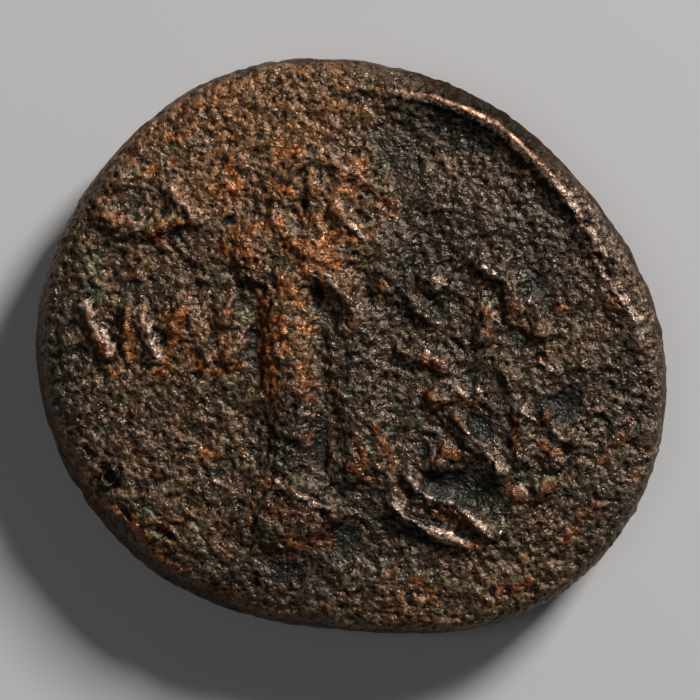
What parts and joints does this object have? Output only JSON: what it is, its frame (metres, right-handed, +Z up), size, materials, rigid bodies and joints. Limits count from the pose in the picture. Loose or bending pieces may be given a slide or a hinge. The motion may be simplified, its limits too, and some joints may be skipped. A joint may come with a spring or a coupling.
{
  "type": "ancient bronze coin",
  "caption": "Worn ancient struck bronze coin lying flat, with a standing draped figure in low relief between rows of plain strokes, and a wreath underneath.",
  "frame": {"origin": "centre of the bounding box at its underside, on the surface that the coin lies on", "axes": "+Z up through the side with the figure, +Y towards the figure's head, +X along the coin's length"},
  "size_m": [0.021, 0.0192, 0.0037],
  "materials": {
    "bronze": "worn, corroded bronze with a brown and grey-brown granular patina, orange-brown on the raised figure, green specks, and bright rubbed copper along the rim"
  },
  "bodies": {
    "root": {"coin": "bronze"}
  },
  "joints": []
}
